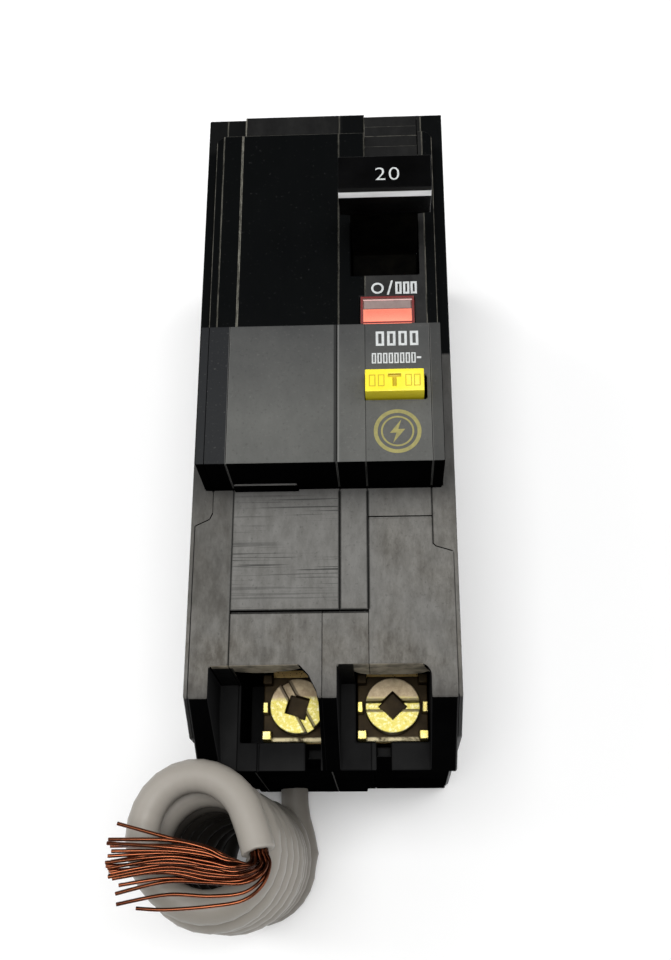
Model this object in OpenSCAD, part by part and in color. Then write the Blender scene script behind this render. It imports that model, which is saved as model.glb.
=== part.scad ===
// Two-pole plug-on ground-fault circuit breaker with a coiled neutral pigtail.
// Millimetres. +Z points out of the panel face, +Y towards the line (jaw) end,
// -Y towards the load terminals, X across the poles.
// The origin is the middle of the back face.

/* [Case] */
// Width across both poles
body_w = 38.1; // [38:0.1:38.4]
// Length from line end to load end
body_l = 104.1; // [103.8:0.1:104.6]
// Height of the shoulders that the panel cover rests on
shoulder_z = 55.7; // [55.4:0.1:56]
// Height of the handle plateau
far_z = 59.1; // [59:0.1:59.4]
// Height of the raised test-button plateau
mid_z = 65.7; // [65.4:0.1:66]
// How far the plateaus stand in from each side
plateau_in = 1.8; // [1.7:0.05:1.9]
// Thickness of the moulded walls
wall = 1.6; // [1.4:0.1:1.7]

/* [Handle] */
// Width of the handle's cross bar
handle_w = 13.2; // [12.8:0.1:13.4]
// Height of the top of the handle at rest
handle_top = 75.7; // [75.2:0.1:76.2]
// Radius of the handle's round hub
hub_r = 9.6; // [9.2:0.1:9.7]

/* [Terminals] */
// Diameter of a terminal screw's head
head_d = 7.9; // [7.4:0.1:8]
// Diameter of a terminal screw's thread
thread_d = 4; // [3.8:0.1:4]

/* [Pigtail] */
// Diameter over the wire's insulation
wire_d = 4.7; // [4.4:0.1:4.8]
// Radius of the coil at the middle of the wire
coil_r = 8.4; // [8.2:0.1:8.5]
// Height of the coil along its own axis
coil_h = 49.6; // [48:0.2:50]

/* [Hidden] */
$fn = 48;

// Case levels and stations along the length
half_w = body_w / 2;
far_end = body_l / 2;
near_end = -far_end;
plateau_x = half_w - plateau_in;
far_edge_y = 46.3;
step_y = 7.8;
mid_near_y = -13.7;
panel_y = -31.8;
well_y = -39.5;
bend_y = -43.9;
base_near_y = -49.5;
lip_z = 43.4;
lip_h = 1.2;
corner_r = 1.6;

// Seams between the case mouldings, from left to right
seam_a = -16;
seam_b = -13;
seam_c = 2.35;
seam_c_low = -0.1;
seam_d = 6.38;
seam_e = 15.6;
skirt = 0.55;
skirt_end_y = -48.3;
mould_seam_y = -18;
groove = 0.35;
ledge_t = 0.3;
ledge_h = 2.4;

// Steps that lead down from the label column, beyond the handle
label_y = 41.6;
label_end = 14.9;
step_l = 2.4;
step_h = 0.6;

// Compartments inside the case
room_e = [-half_w + 1.8, -11.6];
room_a = [-10.4, seam_c];
room_b = [4.3, half_w - 1.8];
deck_t = 1.8;
pole_a = -4.35;
pole_b = 9.5;
jaw_x = 9.525;

// Shafts, given as [y, z]
handle_axis = [27.1, 48];
crossbar_axis = [22, 32];
trip_bar_axis = [3, 26];
lever_axis = [10.3, 44];
fit = 0.05;
trunnion_r = 1.5;
crossbar_r = 2.3;
trip_bar_r = 1.6;
lever_pin_r = 1.2;

// Rivets through the case, given as [y, z]
rivet_at = [[46, 48], [46, 23], [13, 8], [-40, 12], [-28, 50]];
rivet_r = 1.4;
rivet_head_r = 2.6;
rivet_head_t = 0.8;

// Openings in the face
slot_x = [4.25, 14.6];
slot_y = [19.8, 34.4];
window_x = [5.6, 13.8];
window_y = [11.2, 16];
button_x = [6.4, 14.6];
button_y = [-4.1, -0.7];
button_top = 67.9;

// Levels of the inner pieces
spring_top = mid_z - 3.9;
spring_base = 56.4;
flag_z = 55.5;
plunger_z = 7.7;
board_x = room_e[0] + 1.2;

// Terminals
screw_y = -43;
screw_a_x = -4.25;
plate_z = 39.5;
plate_t = 1.5;
saddle_t = 1.2;
head_t = 2.6;
saddle_size = [10.2, 9.4];

// Coil of the pigtail, and its tilt away from upright
coil_base = [-13.9, -62.95, 0.8];
coil_tilt = 4;
lead_route = [[-7.8, -44, 3.6], [-7.8, -47, 3.6], [-7.8, -50, 3.6],
    [-7.5, -53, 3.5], [-6.9, -56, 3.4], [-6.2, -59, 3.3]];
braid_route = [[0, 19.4, 25], [-0.6, 16.5, 24.6], [-2.2, 13, 25.5], [-3.3, 9.5, 28.5],
    [-3.5, 6, 32.5], [-3, 2, 37.5], [-2, -1, 41], [-1.6, -3.5, 42]];

// ---------- shared shapes ----------

// Extrudes a [y, z] outline from x0 to x1
module along_x(x0, x1) {
    translate([x0, 0, 0]) rotate([90, 0, 90]) linear_extrude(x1 - x0) children();
}

// Box between two corners
module box(x, y, z) {
    translate([x[0], y[0], z[0]]) cube([x[1] - x[0], y[1] - y[0], z[1] - z[0]]);
}

// Cylinder along X around the axis [y, z]
module rod_x(at, r, x0, x1) {
    translate([x0, at[0], at[1]]) rotate([0, 90, 0]) cylinder(h = x1 - x0, r = r);
}

// Cylinder along Y from y0 to y1
module rod_y(x, z, r, y0, y1) {
    translate([x, y0, z]) rotate([-90, 0, 0]) cylinder(h = y1 - y0, r = r);
}

function unit(v) = v / norm(v);
function route_dir(p, i) =
    unit(p[min(i + 1, len(p) - 1)] - p[max(i - 1, 0)]);

// Ring of n points of radius r around p, square to direction d
function ring(p, d, r, n, up) =
    let (u = unit(cross(d, up)), v = cross(u, d))
    [for (k = [0 : n - 1]) p + r * (cos(360 * k / n) * u + sin(360 * k / n) * v)];

// Tube of radius r swept along the points of path, with n sides
module swept_tube(path, r, n, up = [0, 0, 1]) {
    m = len(path);
    rings = [for (i = [0 : m - 1]) each ring(path[i], route_dir(path, i), r, n, up)];
    sides = [for (i = [0 : m - 2]) for (k = [0 : n - 1])
        let (a = i * n + k, b = i * n + (k + 1) % n)
        each [[a, b, b + n], [a, b + n, a + n]]];
    near_cap = [for (k = [0 : n - 1]) n - 1 - k];
    far_cap = [for (k = [0 : n - 1]) (m - 1) * n + k];
    polyhedron(rings, concat([near_cap], sides, [far_cap]));
}

// Points of a helix along +Z
function helix(r, pitch, turns, steps) =
    [for (i = [0 : turns * steps])
        [r * cos(360 * i / steps), r * sin(360 * i / steps), pitch * i / steps]];

// ---------- case ----------

// Side outline of the body below the shoulders
module low_outline() {
    polygon([[base_near_y, 0], [far_end, 0], [far_end, shoulder_z],
        [bend_y, shoulder_z], [near_end, lip_z], [near_end, lip_z - lip_h],
        [base_near_y, lip_z - lip_h]]);
}

// Handle plateau, with rounded corners at the line end
module far_plateau_plan() {
    translate([-plateau_x, step_y])
        square([2 * plateau_x, far_edge_y - step_y - corner_r]);
    translate([corner_r - plateau_x, step_y])
        square([2 * (plateau_x - corner_r), far_edge_y - step_y]);
    for (side = [-1, 1])
        translate([side * (plateau_x - corner_r), far_edge_y - corner_r])
            circle(corner_r);
}

// Stepped end of the label column, beyond the handle
module label_steps() {
    for (i = [1 : 4])
        box([seam_d, label_end], [far_edge_y - 1, label_y + step_l * i],
            [shoulder_z - 1, far_z - step_h * i]);
}

// Solid that all case mouldings are cut from
module body_blank() {
    along_x(-half_w, half_w) low_outline();
    translate([0, 0, shoulder_z - 1])
        linear_extrude(far_z - shoulder_z + 1) far_plateau_plan();
    box([-plateau_x, plateau_x], [mid_near_y, step_y], [shoulder_z - 1, mid_z]);
    box([-12.8, -3.6], [mid_near_y - ledge_t, mid_near_y + 1],
        [shoulder_z - 1, shoulder_z + ledge_h]);
    box([seam_b, seam_d], [far_edge_y - 1, far_end], [shoulder_z - 1, shoulder_z + step_h]);
    label_steps();
}

// Hollow of one compartment below the shoulders, as a [y, z] outline
module room_outline() {
    polygon([[-44.5, wall], [31.4, wall], [31.4, 18.6], [far_end - wall, 18.6],
        [far_end - wall, shoulder_z - wall], [-34.5, shoulder_z - wall],
        [-34.5, 26], [base_near_y + wall, 26], [base_near_y + wall, 12], [-44.5, 12]]);
}

// The same hollow where it rises into the two plateaus
module plateau_room_outline() {
    polygon([[far_edge_y - wall, 50], [far_edge_y - wall, far_z - deck_t],
        [step_y - wall, far_z - deck_t], [step_y - wall, mid_z - wall],
        [mid_near_y + wall, mid_z - wall], [mid_near_y + wall, 50]]);
}

module rooms() {
    side_x = plateau_x - wall;
    for (room = [room_e, room_a, room_b]) {
        along_x(room[0], room[1]) room_outline();
        along_x(max(room[0], -side_x), min(room[1], side_x)) plateau_room_outline();
    }
}

// Plan of the load-end wells where they meet the face
module well_plan_right() {
    translate([1.98, near_end - 1]) square([12.82, well_y - near_end - 0.5]);
    translate([1.98, near_end]) square([11.32, well_y - near_end]);
    translate([13.3, well_y - 1.5]) circle(1.5);
}

module well_plan_left() {
    polygon([[-15.2, near_end - 1], [-15.7, -44.5], [-15.7, well_y - 0.1],
        [-3.3, well_y], [-2, -40.9], [-0.9, -43.1], [-0.6, -44.5],
        [-0.6, near_end - 1]]);
}

// Pit under the deck around one terminal, with the deck's lip left in as its children
module pit(x0, x1) {
    box([x0, x1], [-48, well_y], [30, lip_z + 1]);
    difference() {
        box([x0, x1], [-44, -37], [30, shoulder_z - 1.3]);
        children();
    }
}

// Lip that hangs from the deck over the left terminal, an arc
module lip_left() {
    rod_y(-8.9, 58.2, 7.6, well_y, well_y + 1);
}

// Lip over the right terminal, a plate with rounded lower corners
module lip_right() {
    lip_r = 3.4;
    lip_x = [7.2, 11.6];
    arc_z = 52.3;
    for (x = lip_x) rod_y(x, arc_z, lip_r, well_y, well_y + 1);
    box(lip_x, [well_y, well_y + 1], [arc_z - lip_r, shoulder_z]);
    box([lip_x[0] - lip_r, lip_x[1] + lip_r], [well_y, well_y + 1], [arc_z, shoulder_z]);
}

// Pocket around one line jaw, open at the back and at the line end
module jaw_pocket(x) {
    box([x - 3.2, x + 3.2], [33, far_end + 1], [-1, 17]);
    box([x - 0.8, x + 1.7], [34.9, 37.6], [16, 19]);
}

// Undercut that hooks over the panel's mounting rail, and the set-back toe below it
module rail_hook(x0, x1, toe_x1) {
    box([x0, x1], [base_near_y - 1, -46.2], [7.5, 10]);
    box([x0, toe_x1], [base_near_y - 1, base_near_y + 0.5], [-1, 7.5]);
}

// Slot and clearance for one load terminal's strap
module strap_slot(x) {
    box([x - 4.2, x + 4.2], [-38, -34], [plate_z - 0.2, plate_z + plate_t + 0.2]);
}

// Every opening cut in the case from outside
module face_openings() {
    translate([0, 0, lip_z]) linear_extrude(20) well_plan_right();
    translate([0, 0, lip_z]) linear_extrude(20) well_plan_left();
    pit(4.2, 14.8) lip_right();
    pit(-12.6, 0.1) lip_left();
    translate([screw_a_x, screw_y, plate_z]) cylinder(h = 12, r = head_d / 2 + 0.4);
    // undercut that lets the left saddle rise beside the centre wall
    box([screw_a_x + 3, screw_a_x + saddle_size[0] / 2 + 0.3],
        [-48, screw_y + saddle_size[1] / 2 + 0.3], [plate_z, 47.8]);
    box([-3.1, -0.9], [near_end - 1, -48], [37, lip_z + 1]);
    box([7.1, 9.2], [near_end - 1, -48], [39, lip_z + 1]);
    box([-10.1, -9.8], [near_end - 1, -47.9], [lip_z - 0.4, lip_z + 1]);
    box(slot_x, slot_y, [50, 70]);
    box(window_x, window_y, [50, 70]);
    box([button_x[0] - 0.1, 15], [button_y[0] - 0.2, button_y[1] + 0.2], [mid_z - 5, 70]);
    box([seam_b, seam_d], [panel_y - groove, panel_y], [shoulder_z - 0.6, shoulder_z + 1]);
    box([seam_d, seam_e], [mould_seam_y - groove, mould_seam_y],
        [shoulder_z - groove, shoulder_z + 1]);
    for (i = [0 : 1])
        box([seam_d, label_end], [label_y + step_l * i, label_y + step_l * (i + 2)],
            [far_z - step_h * (i + 1), far_z + 1]);
}

module shaft_bores() {
    rod_x(handle_axis, trunnion_r + fit, 2.35, 18.4);
    rod_x(crossbar_axis, crossbar_r + fit, 2.35, 4.3);
    rod_x(crossbar_axis, trunnion_r + fit, -11.6, 18.4);
    rod_x(trip_bar_axis, trip_bar_r + fit, -11.6, 18.4);
    rod_x(lever_axis, lever_pin_r + fit, 2.35, 18.4);
}

module rivet_holes() {
    for (at = rivet_at) {
        rod_x(at, rivet_r + fit, -half_w - 1, half_w + 1);
        for (side = [-1, 1])
            rod_x(at, rivet_head_r + 0.2,
                side * half_w - 0.9, side * half_w + 0.9);
    }
}

module case_body() {
    difference() {
        body_blank();
        rooms();
        face_openings();
        shaft_bores();
        rivet_holes();
        for (side = [-1, 1]) jaw_pocket(side * jaw_x);
        rail_hook(-17.5, -14, -14);
        rail_hook(4.9, 15.5, half_w + 1);
        strap_slot(pole_a);
        strap_slot(pole_b);
        rod_y(lead_route[0][0], lead_route[0][2], wire_d / 2 + 0.1, base_near_y - 1, -44);
    }
}

// Cuts one moulding out of the case by its plan
module moulding(plan) {
    intersection() {
        case_body();
        translate([0, 0, -1]) linear_extrude(80) polygon(plan);
    }
}

plan_left_cover = [[-half_w, far_end], [seam_a, far_end], [seam_a, -17.2],
    [seam_a - 0.4, -18.1], [-half_w + skirt, -19.1], [-half_w + skirt, skirt_end_y],
    [-half_w, skirt_end_y]];
plan_left_case = [[seam_a, far_end], [seam_b, far_end], [seam_b, near_end],
    [-half_w + skirt, near_end], [-half_w + skirt, -19.1], [seam_a - 0.4, -18.1],
    [seam_a, -17.2]];
plan_module_case = [[seam_b, far_end], [seam_c, far_end], [seam_c, panel_y],
    [seam_c_low, panel_y], [seam_c_low, near_end], [seam_b, near_end]];
plan_centre_frame = [[seam_c, far_end], [seam_d, far_end], [seam_d, near_end],
    [seam_c_low, near_end], [seam_c_low, panel_y], [seam_c, panel_y]];
plan_right_case = [[seam_d, far_end], [seam_e, far_end], [seam_e, -22.2],
    [seam_e + 0.4, -22.6], [half_w - skirt, -23.4], [half_w - skirt, near_end],
    [seam_d, near_end]];
plan_right_cover = [[seam_e, far_end], [half_w, far_end], [half_w, skirt_end_y],
    [half_w - skirt, skirt_end_y], [half_w - skirt, -23.4], [seam_e + 0.4, -22.6],
    [seam_e, -22.2]];

module left_cover() {
    color("#1d1d1f") moulding(plan_left_cover);
}

module left_case() {
    color("#242426") moulding(plan_left_case);
}

module module_case() {
    color("#202022") moulding(plan_module_case);
}

module centre_frame() {
    color("#262628") moulding(plan_centre_frame);
}

module right_case() {
    color("#222224") moulding(plan_right_case);
}

module right_cover() {
    color("#1f1f21") moulding(plan_right_cover);
}

module case_rivets() {
    color("#b8b4a8") for (at = rivet_at) {
        rod_x(at, rivet_r, -half_w + 0.1, half_w - 0.1);
        rod_x(at, rivet_head_r, -half_w + 0.1, -half_w + 0.1 + rivet_head_t);
        rod_x(at, rivet_head_r, half_w - 0.1 - rivet_head_t, half_w - 0.1);
    }
}

// Clear lens over the trip flag, with a flange under the deck
module indicator_lens() {
    color("#e8d8d4", 0.5) {
        box([window_x[0] + 0.05, window_x[1] - 0.05], [window_y[0] + 0.05, window_y[1] - 0.05],
            [far_z - deck_t - 0.1, far_z + 0.25]);
        box([window_x[0] - 0.4, window_x[1] + 0.4], [window_y[0] - 0.4, window_y[1] + 0.4],
            [far_z - deck_t - 0.5, far_z - deck_t]);
    }
}

// ---------- handle ----------

module handle() {
    hx0 = slot_x[0] + 0.25;
    hx1 = slot_x[1] - 0.25;
    bar_x = (hx0 + hx1) / 2 + 0.15;
    color("#101011") {
        rod_x(handle_axis, hub_r, hx0, hx1);
        along_x(hx0, hx1) polygon([[24.5, 48], [29.7, 48], [29.4, handle_top - 5],
            [24.4, handle_top - 5]]);
        along_x(bar_x - handle_w / 2, bar_x + handle_w / 2)
            polygon([[24.3, handle_top - 7.2], [23.3, handle_top - 1.6],
                [23.9, handle_top], [29.2, handle_top], [29.9, handle_top - 1.4],
                [29.6, handle_top - 7.2]]);
        rod_x(handle_axis, trunnion_r, 2.6, hx0 + 1);
        rod_x(handle_axis, trunnion_r, hx1 - 1, 18.2);
    }
}

// ---------- test button ----------

module test_button() {
    mark_d = 0.35;
    color("#f2cc0c") {
        difference() {
            box(button_x, button_y, [mid_z - 3.6, button_top]);
            translate([10.5, -2.4, button_top - mark_d]) {
                box([-0.25, 0.25], [-0.9, 0.7], [0, 1]);
                box([-0.9, 0.9], [0.5, 0.95], [0, 1]);
            }
        }
        box([button_x[0] + 0.4, button_x[1] - 0.4], [button_y[0] - 0.9, button_y[1] + 0.9],
            [mid_z - 3.9, mid_z - 2.4]);
    }
}

module test_button_spring() {
    turns = 4;
    steps = 10;
    wire_r = 0.25;
    color("#c8c8cc") translate([10.5, -2.4, spring_base + wire_r + 0.02])
        swept_tube(helix(1.3, (spring_top - spring_base - 2 * wire_r - 0.04) / turns, turns, steps),
            wire_r, 5);
}

module test_contact() {
    color("#c98a3c") {
        box([8, 13], [-6.5, 1.7], [spring_base - 0.8, spring_base]);
        box([room_b[0], 13], [-6.5, -5.9], [48, spring_base - 0.4]);
    }
}

// ---------- tripping mechanism ----------

// Coloured flag that shows in the window when the breaker has tripped
module trip_flag() {
    color("#f0604c") {
        box([6, 13.4], [10, 15.4], [flag_z, flag_z + 1]);
        for (y = [10, 13.2])
            box([7.6, 11.4], [y, y + 0.8], [flag_z - 1.5, flag_z + 0.1]);
    }
}

module trip_lever() {
    color("#9aa0a4") difference() {
        union() {
            along_x(8, 11) polygon([[8.9, 44], [11.7, 44], [12.8, 55.1], [11.2, 55.1]]);
            along_x(8, 11) polygon([[8.5, 45], [11.4, 42.5], [2.6, 36.5], [0.6, 36.5],
                [0.6, 38.2]]);
            rod_x(lever_axis, 2.6, 8, 11);
        }
        rod_x(lever_axis, lever_pin_r + fit, 7, 12);
    }
}

module trip_lever_pin() {
    color("#b4b8bc") rod_x(lever_axis, lever_pin_r, 2.6, 18.2);
}

// Common trip bar, with a tail at each pole and one for the solenoid
module trip_bar() {
    color("#6b4a2e") {
        rod_x(trip_bar_axis, trip_bar_r, -11.4, 18.2);
        for (x = [pole_a, pole_b])
            box([x - 1.5, x + 1.5], [2.2, 3.8], [26, 33]);
        box([pole_a - 1.5, pole_a + 1.5], [2.2, 3.8], [6, 26]);
    }
}

// ---------- contacts ----------

module contact_crossbar() {
    color("#7a2f24") {
        rod_x(crossbar_axis, crossbar_r, -10.1, 17);
        rod_x(crossbar_axis, trunnion_r, -11.4, 18.2);
    }
}

module contact_arm(x) {
    color("#b9713a") {
        difference() {
            union() {
                box([x - 2.2, x + 2.2], [21.3, 22.7], [15, 30]);
                rod_x(crossbar_axis, crossbar_r + 0.8, x - 2.2, x + 2.2);
            }
            rod_x(crossbar_axis, crossbar_r, x - 3, x + 3);
        }
        rod_y(x, 17, 1.8, 22.7, 23.7);
    }
}

module contact_arm_left() {
    contact_arm(pole_a);
}

module contact_arm_right() {
    contact_arm(pole_b);
}

module toggle_spring(x) {
    steps = 10;
    turns = 7;
    color("#bfc3c7") translate([x, 19.8, 27.2]) rotate([37, 0, 0])
        swept_tube(helix(1.1, 1.3, turns, steps), 0.25, 5);
}

module toggle_spring_left() {
    toggle_spring(pole_a + 3.7);
}

module toggle_spring_right() {
    toggle_spring(pole_b + 3.7);
}

// Plug-on jaw with its two leaves, riser and fixed contact
module line_jaw(jx, cx) {
    leaf_t = 0.8;
    stab_gap = 1.6;
    half_jaw = stab_gap / 2 + leaf_t;
    x0 = min(jx, cx) - 0.7;
    x1 = max(jx, cx) + half_jaw;
    color("#c9a25a") {
        for (side = [-1, 1])
            box([jx + side * (stab_gap + leaf_t) / 2 - leaf_t / 2,
                jx + side * (stab_gap + leaf_t) / 2 + leaf_t / 2], [35, 50.5], [1.5, 15.2]);
        box([jx - half_jaw, jx + half_jaw], [35, 50.5], [15, 16]);
        box([jx - 0.7, jx + half_jaw], [35, 37.5], [15, 21.2]);
        box([x0, x1], [28.8, 37.5], [20, 21.2]);
        box([cx - 2, cx + 2], [28.8, 30], [13.5, 21.2]);
        rod_y(cx, 17.8, 1.8, 27.8, 28.8);
    }
}

module line_jaw_left() {
    line_jaw(-jaw_x, pole_a);
}

module line_jaw_right() {
    line_jaw(jaw_x, pole_b);
}

module flexible_braids() {
    color("#b4733f") for (x = [pole_a, pole_b])
        translate([x, 0, 0]) swept_tube(braid_route, 0.8, 8, [1, 0, 0]);
}

// ---------- overload sensing ----------

module bimetal(x) {
    color("#a8a49a") {
        box([x - 2.5, x + 2.5], [-4.4, -3.6], [24.4, 46]);
        rod_y(x, 44.4, 1, -3.6, -2.4);
    }
}

module bimetal_left() {
    bimetal(pole_a);
}

module bimetal_right() {
    bimetal(pole_b);
}

module magnet_yoke(x) {
    color("#8d9196") {
        box([x - 3.6, x + 3.6], [-6.4, -5.4], [29, 39]);
        box([x - 2, x + 2], [-6.4, -5.4], [24.4, 29]);
        for (side = [-1, 1])
            box([x + side * 3.1 - 0.5, x + side * 3.1 + 0.5], [-6.4, -2.4], [29, 39]);
    }
}

module magnet_yoke_left() {
    magnet_yoke(pole_a);
}

module magnet_yoke_right() {
    magnet_yoke(pole_b);
}

// ---------- load terminals ----------

// Load strap: terminal plate, drop and foot of the bimetal
module load_terminal(x, screw_x) {
    color("#c8b06a") difference() {
        union() {
            box([screw_x - 4, screw_x + 4], [-47.6, -38], [plate_z, plate_z + plate_t]);
            box([x - 3.8, x + 3.8], [-39, -33], [plate_z, plate_z + plate_t]);
            box([x - 2.5, x + 2.5], [-34.2, -33], [23, plate_z + 0.5]);
            box([x - 2.5, x + 2.5], [-34.2, -3.6], [23, 24.4]);
        }
        translate([screw_x, screw_y, 30]) cylinder(h = 20, r = thread_d / 2 + fit);
    }
}

module load_terminal_left() {
    load_terminal(pole_a, screw_a_x);
}

module load_terminal_right() {
    load_terminal(pole_b, pole_b);
}

// Self-lifting saddle that clamps the wire, with upturned corners
module saddle_clamp(x) {
    z0 = plate_z + plate_t;
    post = 1.3;
    color("#d8bc56") translate([x, screw_y, z0]) {
        difference() {
            translate([-saddle_size[0] / 2, -saddle_size[1] / 2, 0])
                cube([saddle_size[0], saddle_size[1], saddle_t]);
            translate([0, 0, -1]) cylinder(h = 5, r = thread_d / 2 + 0.3);
        }
        for (sx = [-1, 1]) for (sy = [-1, 1])
            translate([sx * (saddle_size[0] - post) / 2, sy * (saddle_size[1] - post) / 2, 0])
                translate([-post / 2, -post / 2, 0]) cube([post, post, saddle_t + 1.9]);
        for (sx = [-1, 1])
            translate([sx * (saddle_size[0] - 0.8) / 2 - 0.4, -0.8, 0])
                cube([0.8, 1.6, saddle_t + 1.6]);
    }
}

module saddle_clamp_left() {
    saddle_clamp(screw_a_x);
}

module saddle_clamp_right() {
    saddle_clamp(pole_b);
}

// Terminal screw with a square recess and a slot, turned by the given angle
module terminal_screw(x, turn) {
    z0 = plate_z + plate_t + saddle_t;
    slot_w = 1.15;
    slot_d = 1.2;
    square_w = 2.9;
    square_d = 1.7;
    color("#d9bf4e") translate([x, screw_y, 0]) rotate([0, 0, turn]) difference() {
        union() {
            translate([0, 0, z0]) cylinder(h = head_t, r = head_d / 2);
            translate([0, 0, 31]) cylinder(h = z0 - 30.5, r = thread_d / 2);
        }
        box([-6, 6], [-slot_w / 2, slot_w / 2], [z0 + head_t - slot_d, z0 + 6]);
        translate([0, 0, z0 + head_t - square_d]) rotate([0, 0, 45])
            translate([-square_w / 2, -square_w / 2, 0]) cube([square_w, square_w, 6]);
    }
}

module terminal_screw_left() {
    terminal_screw(screw_a_x, -61);
}

module terminal_screw_right() {
    terminal_screw(pole_b, 0);
}

// ---------- ground-fault electronics ----------

module circuit_board() {
    color("#2f6b3c") box([room_e[0], board_x], [-30, 15], [12, 46]);
}

module control_chip() {
    color("#18181a") {
        box([board_x, board_x + 1.5], [-12, -2], [24, 30]);
        for (i = [0 : 3]) for (z = [23.2, 30])
            box([board_x, board_x + 0.5], [-11 + 2.54 * i, -10.4 + 2.54 * i], [z, z + 0.8]);
    }
}

module surge_varistor() {
    color("#2c5fa8") rod_x([6, 36], 4.5, board_x, board_x + 3);
}

module filter_capacitor() {
    color("#3a3560") rod_y(board_x + 1.75, 18, 1.75, -24, -13);
}

// Toroid that compares the line and neutral currents
module sensing_transformer() {
    color("#c49a3a") translate([-8, -26.5, wall + 8.4]) rotate([0, 90, 0])
        rotate_extrude() translate([4, 0]) square([4.4, 6]);
}

module solenoid_frame() {
    color("#8b8f93") difference() {
        box([pole_a - 5, pole_a + 5], [-16, -2], [wall, 13.8]);
        box([pole_a - 6, pole_a + 6], [-15, -3], [wall + 1, 12.8]);
        rod_y(pole_a, plunger_z, 2, -17, -1);
    }
}

module solenoid_coil() {
    color("#b0562c") difference() {
        rod_y(pole_a, plunger_z, 4.6, -15, -3);
        rod_y(pole_a, plunger_z, 2.2, -16, 0);
    }
}

module solenoid_plunger() {
    color("#b4b8bc") rod_y(pole_a, plunger_z, 1.8, -12, 1.8);
}

// ---------- neutral pigtail ----------

module neutral_terminal() {
    end = lead_route[0];
    color("#c8b06a") {
        rod_y(end[0], end[2], 1.5, end[1] + 5, end[1] + 8);
        rod_y(end[0], end[2], 1.9, end[1], end[1] + 5.5);
    }
}

module pigtail_lead() {
    color("#dcdcd8") swept_tube(lead_route, wire_d / 2, 12);
}

module pigtail_coil() {
    color("#e2e2de") translate(coil_base) rotate([0, -coil_tilt, 0])
        rotate_extrude() translate([coil_r - wire_d / 2, 0]) square([wire_d, coil_h]);
}

// Bare copper strands, bent over the coil and fanned out
module pigtail_strands() {
    color("#b5622d") {
        hull() {
            translate([-8.7, -65.2, 48.5]) sphere(1.6, $fn = 16);
            translate([-9.8, -66.6, 52.4]) sphere(1.3, $fn = 16);
        }
        hull() {
            translate([-9.8, -66.6, 52.4]) sphere(1.3, $fn = 16);
            translate([-28.4, -60.5, 51.6]) cube([0.6, 1, 1]);
            translate([-26, -70.6, 51.6]) cube([0.6, 1, 1]);
        }
    }
}

left_cover();
left_case();
module_case();
centre_frame();
right_case();
right_cover();
case_rivets();
indicator_lens();
handle();
test_button();
test_button_spring();
test_contact();
trip_flag();
trip_lever();
trip_lever_pin();
trip_bar();
contact_crossbar();
contact_arm_left();
contact_arm_right();
toggle_spring_left();
toggle_spring_right();
line_jaw_left();
line_jaw_right();
flexible_braids();
bimetal_left();
bimetal_right();
magnet_yoke_left();
magnet_yoke_right();
load_terminal_left();
load_terminal_right();
saddle_clamp_left();
saddle_clamp_right();
terminal_screw_left();
terminal_screw_right();
circuit_board();
control_chip();
surge_varistor();
filter_capacitor();
sensing_transformer();
solenoid_frame();
solenoid_coil();
solenoid_plunger();
neutral_terminal();
pigtail_lead();
pigtail_coil();
pigtail_strands();
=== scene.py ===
# Looks of a two-pole ground-fault circuit breaker with a coiled neutral pigtail.
import math
import random

import bmesh
import bpy
from mathutils import Matrix, Vector


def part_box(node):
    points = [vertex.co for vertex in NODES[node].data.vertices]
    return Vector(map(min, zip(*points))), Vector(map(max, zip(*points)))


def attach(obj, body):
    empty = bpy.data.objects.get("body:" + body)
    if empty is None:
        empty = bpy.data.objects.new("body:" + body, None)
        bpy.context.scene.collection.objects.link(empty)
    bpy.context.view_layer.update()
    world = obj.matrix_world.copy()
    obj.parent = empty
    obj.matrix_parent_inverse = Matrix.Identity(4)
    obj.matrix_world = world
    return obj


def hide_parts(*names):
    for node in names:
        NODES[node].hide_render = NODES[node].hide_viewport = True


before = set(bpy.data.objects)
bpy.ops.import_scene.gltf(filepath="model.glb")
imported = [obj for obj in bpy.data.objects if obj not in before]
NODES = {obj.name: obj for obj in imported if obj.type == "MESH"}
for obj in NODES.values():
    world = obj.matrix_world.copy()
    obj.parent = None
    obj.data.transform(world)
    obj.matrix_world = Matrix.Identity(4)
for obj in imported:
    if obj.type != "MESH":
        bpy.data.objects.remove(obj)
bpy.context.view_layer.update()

MM = 0.001

# ---------------------------------------------------------------- places on the part, in mm
# Stations along the case: end of the handle's plateau, near wall of the test button's
# plateau, near end of the panel in the deck, back of the wells and near end of the base
STEP_Y = 7.8
MID_NEAR_Y = -13.7
PANEL_Y = -31.9
WELL_Y = -39.5
BASE_NEAR_Y = -49.5
LABEL_STEPS_Y = (41.6, 44.0, 46.4, 48.8, 51.2)

# Rim of the handle's plateau
RIM_X = 17.2
RIM_Y = 46.3

# Seams between the six mouldings, from left to right; the low one is the module's on the deck
COVER_SEAM_X = -16
LEFT_SEAM_X = -13
LOW_SEAM_X = -0.1
MODULE_SEAM_X = 2.35
FRAME_SEAM_X = 6.38
RIGHT_SEAM_X = 15.6

# Tops of the handle's plateau, the test button's plateau, the button, the lens,
# the terminal screws and the saddle plates
FAR_Z = 59.1
MID_Z = 65.7
BUTTON_TOP = 67.9
LENS_TOP = 59.35
HEAD_TOP = 44.8
PLATE_TOP = 42.2

# Heights between the deck and the test button's plateau, and between the ledges and the deck
BELOW_MID_Z = (58, 62)
BELOW_DECK_Z = (50, 54)

# Terminal screws: where they stand and how their slots are turned, in degrees
SCREW_AT = {"left": (-4.25, -43.0), "right": (9.5, -43.0)}
SCREW_TURN = {"left": -61, "right": 0}

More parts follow.
